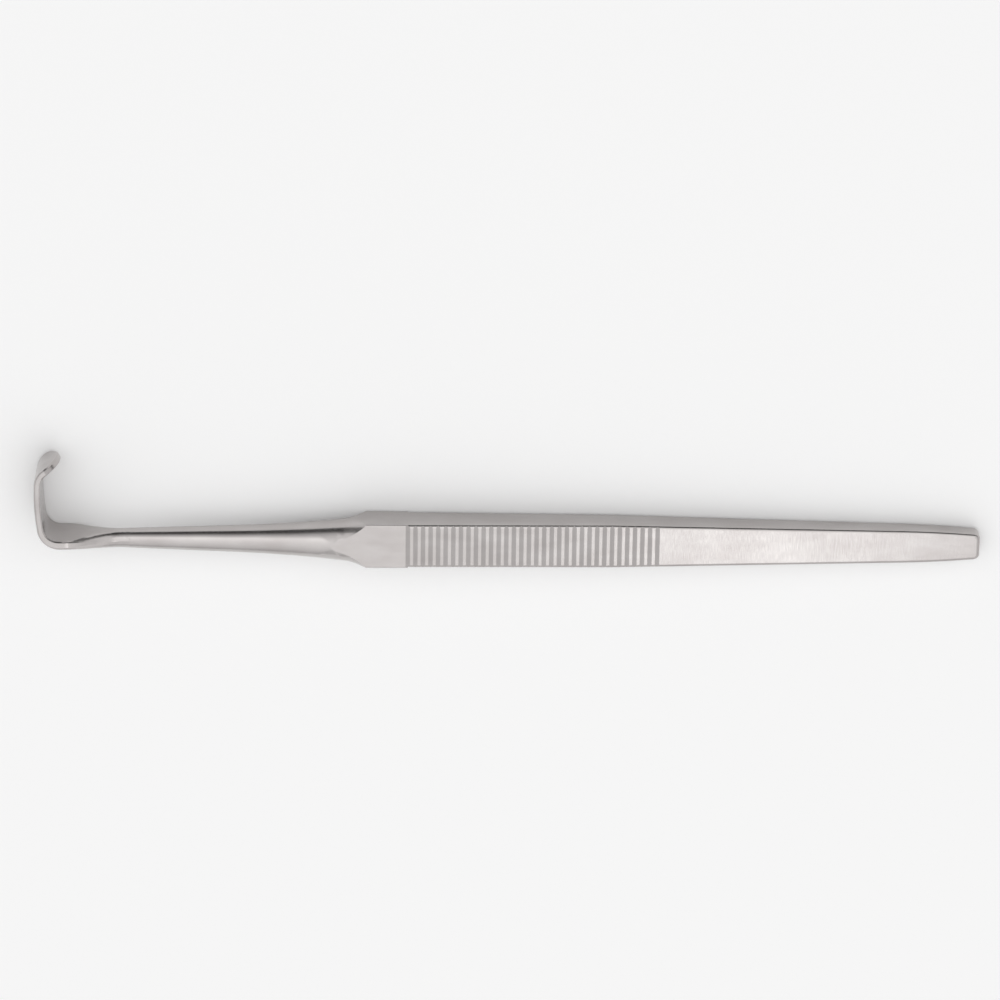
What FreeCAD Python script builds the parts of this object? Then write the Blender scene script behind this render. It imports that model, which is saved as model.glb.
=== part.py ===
import FreeCAD, Part
import os
from math import acos, atan2, cos, degrees, pi, radians, sin, sqrt

from FreeCAD import Placement, Rotation, Vector

# A hand-held surgical retractor, forged and ground from one piece of stainless steel.
# Millimetres. The instrument's axis runs along X, from the blade's outer face at X = 0 to the tail.
# The blade points to +Y, and Z runs across the blade's width and through the handle's thickness.
# At the end the instrument is laid down on its side, the way it rests on a table.

# Places along the axis, from the blade's outer face
waist_from_blade = 18.0      # the shaft's thinnest place, where the strip begins
shaft_station = 43.3         # where shaft_diameter is measured
handle_from_blade = 70.2     # where the handle has its full section
handle_length = 129.8        # from there to the tail's end

# Handle, a flat bar that tapers in width and in thickness
handle_width = 9.85
handle_thickness = 8.15      # where it starts
tail_thickness = 4.35        # at the tail's end
parallel_length = 52.0       # how far the narrow sides run parallel
tail_width = 7.5             # where the tail starts to round in
tail_length = 16.0           # from there to the end
end_width = 5.7              # across the end itself
end_corner_radius = 1.3
neck_edge_radius = 0.3       # long edges before the grip
handle_edge_radius = 0.8     # long edges from the grip to the end

# Grip, V-shaped cross grooves on both wide faces
groove_count = 34
groove_pitch = 1.6
groove_width = 0.95
groove_depth = 0.25
plain_neck_length = 8.5      # from the handle's start to the middle of the first groove

# Round shaft, turned out of the bar: cone, trumpet, and a flare up to the handle
waist_diameter = 4.06
waist_length = 2.0           # how far the waist is round before it starts to flatten
shaft_diameter = 5.8
neck_diameter = 9.0          # where the flare begins
neck_length = 5.0            # from there to the handle
flare_radius = 10.0
flare_turn = 40.0

# Blade, a strip that flattens out of the waist, turns at the heel and ends in a curled lip
blade_width = 11.0
blade_thickness = 1.35
strip_thickness = 1.85       # where the strip enters the heel
strip_rise = 0.15            # the strip's middle above the shaft's axis there
heel_outer_radius = 4.7
heel_inner_radius = 3.2
blade_bow_radius = 51.7      # of the blade's outer face
blade_crown = 11.0           # from the shaft's axis to the furthest bulge of the bow
lip_start = 13.7             # from the shaft's axis to where the lip curls in
lip_outer_radius = 4.5
lip_turn = 55.0
lip_length = 3.2             # straight part, to the tip
lip_end_radius = 6.3         # the lip's rounded end, seen square on
inner_edge_break = 0.25      # a flat at 45 degrees along the inner edges
outer_edge_radius = 0.5

# Working values
MARGIN = 2.0                 # how far a cutting tool stands out past what it cuts
RIM_GAP = 0.02               # between the lip's faces and the flats of the rim tool
ROUND_FLAT = 12.0            # degrees of the round waist that flow into each flat of the strip
ROUND_SIDE = 4.0             # degrees that flow into each side of the strip
STRIP_SECTIONS = 3           # sections that the strip's skin is laid over
STRIP_RUN = 0.1              # of even strip before the heel begins to turn

ORIGIN, ALONG, UP, ACROSS = Vector(0, 0, 0), Vector(1, 0, 0), Vector(0, 1, 0), Vector(0, 0, 1)

handle_end = handle_from_blade + handle_length
neck_from_blade = handle_from_blade - neck_length
grip_from_blade = handle_from_blade + plain_neck_length
shaft_from_blade = waist_from_blade + waist_length
bar_start = shaft_from_blade - MARGIN


def straight(start, end):
    return Part.LineSegment(start, end).toShape()


def tangent_arc(start, direction, end):
    """An arc that leaves start along a direction and reaches end, in the plane Z = 0."""
    chord = end - start
    normal = ACROSS.cross(direction).normalize()
    radius = chord.Length ** 2 / (2 * chord.dot(normal))
    centre = start + normal * radius
    middle = centre + (start + end - centre * 2).normalize() * abs(radius)
    return Part.Arc(start, middle, end).toShape()


def direction_after(start, direction, end):
    """The direction in which that arc arrives."""
    chord = (end - start).normalize()
    return chord * (2 * chord.dot(direction)) - direction


def face_of(edges):
    return Part.Face(Part.Wire(Part.sortEdges(edges)[0]))


def flipped(edges):
    """The same edges on the other side of the axis."""
    return [edge.mirror(ORIGIN, UP) for edge in edges]


def half_thickness(x):
    """Half the handle's thickness at x, one straight taper all along."""
    taper = (handle_thickness - tail_thickness) / 2 / handle_length
    return tail_thickness / 2 + (handle_end - x) * taper


def narrow_side():
    """The handle's narrow side as the wide face shows it: parallel, tapering, then rounding in."""
    start = Vector(bar_start, handle_width / 2, 0)
    corner = Vector(handle_from_blade + parallel_length, handle_width / 2, 0)
    shoulder = Vector(handle_end - tail_length, tail_width / 2, 0)
    end = Vector(handle_end, end_width / 2, 0)
    taper = (shoulder - corner).normalize()
    return [straight(start, corner), straight(corner, shoulder), tangent_arc(shoulder, taper, end)]


def rounded_slab():
    """Half the handle's thickness before it is tipped: a slab with its wide face at Z = 0."""
    side = narrow_side()
    ends = [straight(Vector(x, -width / 2, 0), Vector(x, width / 2, 0))
            for x, width in ((bar_start, handle_width), (handle_end, end_width))]
    deep = half_thickness(bar_start) + MARGIN
    slab = face_of(side + ends + flipped(side)).extrude(ACROSS * -deep)
    end_corners = [edge for edge in slab.Edges if abs(edge.CenterOfMass.x - handle_end) < 1e-6
                   and edge.BoundBox.ZLength > MARGIN]
    slab = slab.makeFillet(end_corner_radius, end_corners)

    before_grip = Part.makeBox(grip_from_blade - bar_start, 2 * handle_width, 2 * deep,
                               Vector(bar_start, -handle_width, -deep))
    neck, grip = slab.common(before_grip), slab.cut(before_grip)
    neck = neck.makeFillet(neck_edge_radius, face_edges(neck))
    grip = grip.makeFillet(handle_edge_radius, face_edges(grip))
    return neck.fuse(grip)


def face_edges(slab):
    """The edges round the slab's wide face, apart from the square cuts at its ends."""
    return [edge for edge in slab.Edges
            if edge.BoundBox.ZMin > -1e-6
            and (edge.BoundBox.XLength > 1e-6 or edge.CenterOfMass.x > handle_end - 1e-6)]


def grooved(slab):
    """Cuts the grip's cross grooves into the slab's wide face."""
    top = groove_width / 2 * (1 + MARGIN / groove_depth)
    side = -handle_width / 2 - MARGIN
    corners = [Vector(0, side, -groove_depth), Vector(top, side, MARGIN), Vector(-top, side, MARGIN)]
    profile = face_of([straight(corners[i - 1], corners[i]) for i in range(3)])
    cutters = []
    for i in range(groove_count):
        cutter = profile.extrude(UP * (handle_width + 2 * MARGIN))
        cutter.translate(ALONG * (grip_from_blade + i * groove_pitch))
        cutters.append(cutter)
    return slab.cut(cutters)


def handle():
    """Two slabs, tipped to the handle's taper and joined at the middle plane."""
    slab = grooved(rounded_slab())
    slab.translate(ACROSS * (tail_thickness / 2))
    tip = atan2(handle_thickness - tail_thickness, 2 * handle_length)
    slab.rotate(Vector(handle_end, 0, tail_thickness / 2), UP, degrees(tip))
    size = handle_end + MARGIN - shaft_from_blade
    upper_side = Part.makeBox(size, size, size, Vector(shaft_from_blade, -size / 2, 0))
    half = slab.common(upper_side)
    return half.fuse(half.mirror(ORIGIN, ACROSS)).removeSplitter()


def cone_radius(x):
    """The shaft's radius at x, between the waist and the shaft station."""
    share = (x - waist_from_blade) / (shaft_station - waist_from_blade)
    return (waist_diameter + (shaft_diameter - waist_diameter) * share) / 2


def turned(bar):
    """The bar with the shaft and its flare turned out of the end."""
    cone_start = Vector(shaft_from_blade, cone_radius(shaft_from_blade), 0)
    station = Vector(shaft_station, shaft_diameter / 2, 0)
    neck = Vector(neck_from_blade, neck_diameter / 2, 0)
    cone = (station - cone_start).normalize()
    slope = direction_after(station, cone, neck)
    turn = radians(flare_turn)
    rise = ACROSS.cross(slope)
    flare_end = neck + (slope * sin(turn) + rise * (1 - cos(turn))) * flare_radius
    away = slope * cos(turn) + rise * sin(turn)
    clear = handle_width + handle_thickness
    flare_out = flare_end + away * ((clear - flare_end.y) / away.y)
    back = Vector(bar_start, cone_start.y, 0)
    corner = Vector(bar_start, clear, 0)
    waste = face_of([straight(back, cone_start), straight(cone_start, station),
                     tangent_arc(station, cone, neck), tangent_arc(neck, slope, flare_end),
                     straight(flare_end, flare_out), straight(flare_out, corner),
                     straight(corner, back)])
    return bar.cut(waste.revolve(ORIGIN, ALONG, 360))


def along(heading):
    """The direction of a heading, in degrees from +X towards +Y."""
    return Vector(cos(radians(heading)), sin(radians(heading)), 0)


def inward(heading):
    """The side that the strip bends to, at a heading."""
    return along(heading - 90)


def arc_about(centre, radius, start, end):
    """The arc about a centre between two headings."""
    points = [centre - inward(heading) * radius for heading in (start, (start + end) / 2, end)]
    return Part.Arc(*points).toShape()


def heel_arc(face_height, radius, bow_centre, bow_radius):
    """Where the heel turns from a strip face into the bowed blade: its centre and its last heading."""
    rise = face_height + radius - bow_centre.y
    centre = bow_centre + Vector(-sqrt((bow_radius - radius) ** 2 - rise ** 2), rise, 0)
    return centre, degrees(atan2(centre.y - bow_centre.y, centre.x - bow_centre.x)) % 360 - 90


def blade_faces():
    """The outer and the inner face of heel, blade and lip, as edges from the strip to past the tip."""
    bow_centre = Vector(blade_bow_radius, blade_crown, 0)
    lip_heading = degrees(acos((lip_start - blade_crown) / blade_bow_radius))
    tip_heading = lip_heading - lip_turn
    lip_centre = bow_centre - inward(lip_heading) * (blade_bow_radius - lip_outer_radius)
    overshoot = along(tip_heading) * (lip_length + MARGIN)
    outer = (strip_rise - strip_thickness / 2, heel_outer_radius, 0)
    inner = (strip_rise + strip_thickness / 2, heel_inner_radius, blade_thickness)
    heels = [heel_arc(height, radius, bow_centre, blade_bow_radius - inset)
             for height, radius, inset in (outer, inner)]
    strip_end = max(centre.x for centre, heading in heels) + STRIP_RUN
    faces = []
    for (height, radius, inset), (centre, heading) in zip((outer, inner), heels):
        lip_edge = lip_centre - inward(tip_heading) * (lip_outer_radius - inset)
        faces.append([straight(Vector(strip_end, height, 0), Vector(centre.x, height, 0)),
                      arc_about(centre, radius, 180, heading),
                      arc_about(bow_centre, blade_bow_radius - inset, heading, lip_heading),
                      arc_about(lip_centre, lip_outer_radius - inset, lip_heading, tip_heading),
                      straight(lip_edge, lip_edge + overshoot)])
    middle = lip_centre - inward(tip_heading) * (lip_outer_radius - blade_thickness / 2)
    return faces, middle + along(tip_heading) * lip_length, tip_heading


def bent_blade():
    """Heel, blade and lip, one bent plate of even width."""
    (outer, inner), tip, heading = blade_faces()
    ends = [straight(outer[i].Vertexes[i].Point, inner[i].Vertexes[i].Point) for i in (0, -1)]
    plate = face_of(outer + inner + ends)
    plate.translate(ACROSS * (-blade_width / 2))
    plate = plate.extrude(ACROSS * blade_width)
    plate = plate.makeChamfer(inner_edge_break, rims_along(plate, inner))
    plate = plate.makeFillet(outer_edge_radius, rims_along(plate, outer))
    return plate.cut(lip_trim(tip, heading)).Solids[0]


def rims_along(plate, face):
    """The plate's edges where one of its bent faces meets its two flat sides."""
    places = [edge.CenterOfMass for edge in face]
    rims = []
    for edge in plate.Edges:
        middle = edge.CenterOfMass
        on_side = abs(abs(middle.z) - blade_width / 2) < 1e-6
        if on_side and any(Vector(middle.x, middle.y, 0).isEqual(place, 1e-4) for place in places):
            rims.append(edge)
    return rims


def lip_trim(tip, heading):
    """The waste around the lip's rounded end, with a flat at 45 degrees along both of its edges."""
    face = blade_thickness / 2 + RIM_GAP
    outer_break = outer_edge_radius * (2 - sqrt(2))
    far = lip_end_radius + blade_width / 2 + MARGIN
    corners = [Vector(x, radius, 0) for x, radius in
               ((face - inner_edge_break, lip_end_radius), (face, lip_end_radius - inner_edge_break),
                (face + MARGIN, lip_end_radius - inner_edge_break), (face + MARGIN, far),
                (-face - MARGIN, far), (-face - MARGIN, lip_end_radius - outer_break),
                (-face, lip_end_radius - outer_break), (outer_break - face, lip_end_radius))]
    profile = face_of([straight(corners[i - 1], corners[i]) for i in range(len(corners))])
    waste = profile.revolve(ORIGIN, ALONG, 360)
    waste.Placement = Placement(tip - along(heading) * lip_end_radius, Rotation(ACROSS, heading - 90))
    return waste


def eased(start, end, share):
    """From start to end with a level beginning and finish."""
    return start + (end - start) * (1 - cos(pi * share)) / 2


def round_section(x):
    """The shaft's circle at x, divided where the strip's corners and flats will begin."""
    half = (ROUND_FLAT / 2, 90 - ROUND_SIDE / 2, 90 + ROUND_SIDE / 2, 180 - ROUND_FLAT / 2)
    cuts = [half_turn + angle for half_turn in (0, 180) for angle in half]
    cuts.append(cuts[0] + 360)

    def rim(angle):
        outwards = UP * cos(radians(angle)) + ACROSS * sin(radians(angle))
        return ALONG * x + outwards * cone_radius(x)

    return Part.Wire([Part.Arc(rim(start), rim((start + end) / 2), rim(end)).toShape()
                      for start, end in zip(cuts, cuts[1:])])


def corner_edge(start, middle, end):
    """An arc through a corner, or the flat that it has become."""
    if (middle - start).cross(end - middle).Length < 1e-9:
        return straight(start, end)
    return Part.Arc(start, middle, end).toShape()


def flat_section(x, height, width, thickness, share):
    """A section of the strip, its middle at a height above the axis.

    With its share of the strip's length, its corners go from the waist's roundness to the blade's edges.
    """
    round_inset = 1 - sqrt(0.5)
    inner = eased(waist_diameter / 2, inner_edge_break, share), eased(round_inset, 0.5, share)
    outer = eased(waist_diameter / 2, outer_edge_radius, share), round_inset
    corners = []
    for side, level in ((1, 1), (1, -1), (-1, -1), (-1, 1)):
        size, inset = inner if level > 0 else outer
        corner = [Vector(x, height + level * (thickness / 2 - down * size),
                         side * (width / 2 - back * size))
                  for back, down in ((1, 0), (inset, inset), (0, 1))]
        corners.append(corner if side == level else corner[::-1])
    edges = []
    for corner, following in zip(corners, corners[1:] + corners[:1]):
        edges += [corner_edge(*corner), straight(corner[-1], following[0])]
    return Part.Wire(edges)


def strip():
    """The strip that widens and flattens from the round waist to the heel."""
    (outer, inner), tip, heading = blade_faces()
    strip_end = outer[0].Vertexes[0].Point.x
    sections = [round_section(shaft_from_blade), round_section(waist_from_blade)]
    for i in range(STRIP_SECTIONS):
        share = (i + 1) / STRIP_SECTIONS
        sections.append(flat_section(waist_from_blade + (strip_end - waist_from_blade) * share,
                                     eased(0, strip_rise, share),
                                     eased(waist_diameter, blade_width, share),
                                     eased(waist_diameter, strip_thickness, share), share))
    return Part.makeLoft(sections, True, False)


def laid_down(instrument):
    """The instrument on its side on a table, standing on the blade's edge and the handle."""
    (outer, inner), tip, heading = blade_faces()
    heel_x = outer[0].Vertexes[0].Point.x
    lean = min(atan2(blade_width / 2 - half_thickness(x), x - heel_x)
               for x in (handle_from_blade, handle_end))
    instrument.rotate(ORIGIN, UP, degrees(lean))
    box = instrument.optimalBoundingBox(False, False)
    instrument.translate(Vector(-(box.XMin + box.XMax) / 2, -(box.YMin + box.YMax) / 2, -box.ZMin))
    return instrument


def retractor():
    instrument = turned(handle()).fuse([strip(), bent_blade()]).removeSplitter()
    return laid_down(instrument.Solids[0])


os.makedirs("parts", exist_ok=True)
retractor().exportStep("parts/retractor.step")
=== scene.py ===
import bpy
from math import pi, radians
from mathutils import Euler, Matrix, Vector

# A hand-held surgical retractor of ground stainless steel, lying on its side on a pale table.
# Metres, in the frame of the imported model: +X from the blade to the tail, +Y the way the blade points.
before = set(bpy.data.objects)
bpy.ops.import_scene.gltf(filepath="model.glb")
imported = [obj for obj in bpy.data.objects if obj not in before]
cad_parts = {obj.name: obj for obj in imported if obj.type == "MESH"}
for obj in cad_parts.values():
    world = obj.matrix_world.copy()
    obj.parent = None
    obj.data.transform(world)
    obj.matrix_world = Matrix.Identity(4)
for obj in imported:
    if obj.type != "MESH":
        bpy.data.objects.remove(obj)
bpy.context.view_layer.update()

# Retractor
# One forged piece of stainless steel. Its handle is ground flat and grooved, its shaft is turned,
# and its blade is bent up and ground smooth. All of it has a fine satin polish.
GRAIN_CELLS = (9000, 500, 500)       # cells to the metre along X, Y and Z: fine lines across the handle
CLOUD_CELLS = (110, 260, 260)        # faint clouds in the polish
WAVE_CELLS = (70, 45, 45)            # unevenness left by grinding by hand
GRAIN_DEPTH = 0.000002               # metres
WAVE_DEPTH = 0.00006                 # metres
SMOOTH, ROUGH = 0.14, 0.24           # roughness of the finest lines and of the coarsest
NOISE_LOW, NOISE_HIGH = 0.3, 0.7     # the middle of a noise, where nearly all of it lies
DARKER_STEEL = (0.475, 0.447, 0.438, 1)
LIGHTER_STEEL = (0.535, 0.51, 0.501, 1)

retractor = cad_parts["retractor"]
steel = bpy.data.materials.new("satin_stainless_steel")
steel.use_nodes = True
nodes, links = steel.node_tree.nodes, steel.node_tree.links
shader = nodes["Principled BSDF"]
shader.inputs["Metallic"].default_value = 1.0
place = nodes.new("ShaderNodeTexCoord").outputs["Object"]


def steel_noise(cells, detail):
    """Noise over the steel, with its own number of cells along X, Y and Z and its own finer layers."""
    mapping = nodes.new("ShaderNodeMapping")
    mapping.inputs["Scale"].default_value = cells
    noise = nodes.new("ShaderNodeTexNoise")
    noise.inputs["Scale"].default_value = 1.0
    noise.inputs["Detail"].default_value = detail
    links.new(place, mapping.inputs["Vector"])
    links.new(mapping.outputs["Vector"], noise.inputs["Vector"])
    return noise.outputs["Fac"]


def ranged(value, low, high, socket):
    """The middle of a noise, spread from low to high, into a socket."""
    spread = nodes.new("ShaderNodeMapRange")
    spread.inputs["From Min"].default_value = NOISE_LOW
    spread.inputs["From Max"].default_value = NOISE_HIGH
    spread.inputs["To Min"].default_value = low
    spread.inputs["To Max"].default_value = high
    links.new(value, spread.inputs["Value"])
    links.new(spread.outputs["Result"], socket)


def bumped(height, depth, below=None):
    """The surface raised by a height map, on top of an earlier bump."""
    bump = nodes.new("ShaderNodeBump")
    bump.inputs["Distance"].default_value = depth
    links.new(height, bump.inputs["Height"])
    if below:
        links.new(below, bump.inputs["Normal"])
    return bump.outputs["Normal"]


grain = steel_noise(GRAIN_CELLS, detail=3)
cloud = steel_noise(CLOUD_CELLS, detail=2)
wave = steel_noise(WAVE_CELLS, detail=1)
ranged(grain, SMOOTH, ROUGH, shader.inputs["Roughness"])
tint = nodes.new("ShaderNodeMix")
tint.data_type = "RGBA"
SHARE, FIRST, SECOND, MIXED = 0, 6, 7, 2     # a colour mix's inputs, and its output
tint.inputs[FIRST].default_value = DARKER_STEEL
tint.inputs[SECOND].default_value = LIGHTER_STEEL
ranged(cloud, 0, 1, tint.inputs[SHARE])
links.new(tint.outputs[MIXED], shader.inputs["Base Color"])
links.new(bumped(grain, GRAIN_DEPTH, bumped(wave, WAVE_DEPTH)), shader.inputs["Normal"])
retractor.data.materials.clear()
retractor.data.materials.append(steel)

# Table
# A matt white sheet that the instrument lies on. It is wide enough to fill every view.
TABLE_SIZE = 8.0
PAPER = (0.99, 0.99, 0.99, 1)
bpy.ops.object.select_all(action="DESELECT")
bpy.ops.mesh.primitive_plane_add(size=TABLE_SIZE)
table = bpy.context.object
table.name = "table"
paper = bpy.data.materials.new("white_paper")
paper.use_nodes = True
sheet = paper.node_tree.nodes["Principled BSDF"]
sheet.inputs["Base Color"].default_value = PAPER
sheet.inputs["Roughness"].default_value = 1.0
sheet.inputs["Specular IOR Level"].default_value = 0.0
table.data.materials.append(paper)

# Studio tent
# A soft white tent all round the table. It is brightest overhead, duller towards the instrument's ends,
# and open in front, where the blade points, so that a dark band lies along the round shaft.
# The tent's level over the middle, by degrees from straight up towards the front:
OVERHEAD = ((-90, 0.62), (-75, 0.7), (-62, 0.86), (-40, 1.0), (-10, 1.19), (22, 1.48),
            (28, 1.36), (34, 1.02), (52, 0.52), (60, 0.24), (70, 0.06), (90, 0.1))
# How much of the ends' level is seen, and that level, by the sideways part of the direction:
ENDS_SHARE = ((0, 0), (0.2, 0), (0.34, 1), (1, 1))
ENDS_LEVEL = ((0, 1.02), (0.5, 1.02), (0.68, 0.8), (1, 0.8))
# What is left of that share, by degrees from straight up towards the front:
FRONT_SHARE = ((-90, 1), (46, 1), (62, 0.15), (90, 0.15))
world = bpy.data.worlds.new("studio_tent")
bpy.context.scene.world = world
world.use_nodes = True
nodes, links = world.node_tree.nodes, world.node_tree.links


def tent_ramp(value, stops):
    """Grey levels along a value, from stops of value and level in order."""
    (low, first), *between, (high, last) = stops
    spread = nodes.new("ShaderNodeMapRange")
    spread.inputs["From Min"].default_value = low
    spread.inputs["From Max"].default_value = high
    links.new(value, spread.inputs["Value"])
    ramp = nodes.new("ShaderNodeValToRGB")
    elements = ramp.color_ramp.elements
    elements[0].color = (first, first, first, 1)
    elements[1].color = (last, last, last, 1)
    for at, level in between:
        elements.new((at - low) / (high - low)).color = (level, level, level, 1)
    links.new(spread.outputs["Result"], ramp.inputs["Fac"])
    return ramp.outputs["Color"]


direction = nodes.new("ShaderNodeSeparateXYZ")
links.new(nodes.new("ShaderNodeTexCoord").outputs["Generated"], direction.inputs["Vector"])
tilt = nodes.new("ShaderNodeMath")
tilt.operation = "ARCTAN2"
links.new(direction.outputs["Y"], tilt.inputs[0])
links.new(direction.outputs["Z"], tilt.inputs[1])
tilt_degrees = nodes.new("ShaderNodeMath")
tilt_degrees.operation = "DEGREES"
links.new(tilt.outputs["Value"], tilt_degrees.inputs[0])
sideways = nodes.new("ShaderNodeMath")
sideways.operation = "ABSOLUTE"
links.new(direction.outputs["X"], sideways.inputs[0])
ends = nodes.new("ShaderNodeMath")
ends.operation = "MULTIPLY"
links.new(tent_ramp(sideways.outputs["Value"], ENDS_SHARE), ends.inputs[0])
links.new(tent_ramp(tilt_degrees.outputs["Value"], FRONT_SHARE), ends.inputs[1])
tent = nodes.new("ShaderNodeMix")
tent.data_type = "RGBA"
links.new(ends.outputs["Value"], tent.inputs[SHARE])
links.new(tent_ramp(tilt_degrees.outputs["Value"], OVERHEAD), tent.inputs[FIRST])
links.new(tent_ramp(sideways.outputs["Value"], ENDS_LEVEL), tent.inputs[SECOND])
links.new(tent.outputs[MIXED], nodes["Background"].inputs["Color"])

# Strip lamp
# A soft lamp above and behind the handle, across the instrument, which lifts the plain tail.
# Its energy gives the lamp's face the level below, on the same scale as the tent's.
STRIP_LENGTH, STRIP_WIDTH, STRIP_LEVEL = 0.9, 0.12, 1.05
STRIP_PLACE = (0.205, -0.5, 1.3)
lamp = bpy.data.lights.new("strip_lamp", "AREA")
lamp.shape = "RECTANGLE"
lamp.size = STRIP_WIDTH
lamp.size_y = STRIP_LENGTH
lamp.energy = STRIP_LEVEL * pi * STRIP_LENGTH * STRIP_WIDTH
strip_lamp = bpy.data.objects.new("strip_lamp", lamp)
bpy.context.collection.objects.link(strip_lamp)
strip_lamp.location = STRIP_PLACE
strip_lamp.visible_camera = False

# Camera
# It looks down from the side that the blade points to, 22 degrees off the vertical, through a long lens.
# Its lens, lean, roll and place were fitted to the outline in the photograph.
FRAME_PIXELS = 1000
FOCAL_PIXELS = 5287.6
DISTANCE = 1.1215                    # metres from the camera to the point that it aims at
LEAN = radians(-22)
ROLL = radians(0.7875)
AIM = Vector((-0.001838, 0.000953, 0.00069))
SENSOR_WIDTH = 36.0                  # millimetres
camera_data = bpy.data.cameras.new("camera")
camera_data.sensor_width = SENSOR_WIDTH
camera_data.lens = SENSOR_WIDTH * FOCAL_PIXELS / FRAME_PIXELS
camera = bpy.data.objects.new("camera", camera_data)
bpy.context.collection.objects.link(camera)
turn = Euler((LEAN, 0, 0)).to_matrix() @ Euler((0, 0, ROLL)).to_matrix()
camera.rotation_euler = turn.to_euler()
camera.location = AIM + turn @ Vector((0, 0, DISTANCE))
bpy.context.scene.camera = camera

bpy.context.scene.view_settings.view_transform = "Standard"
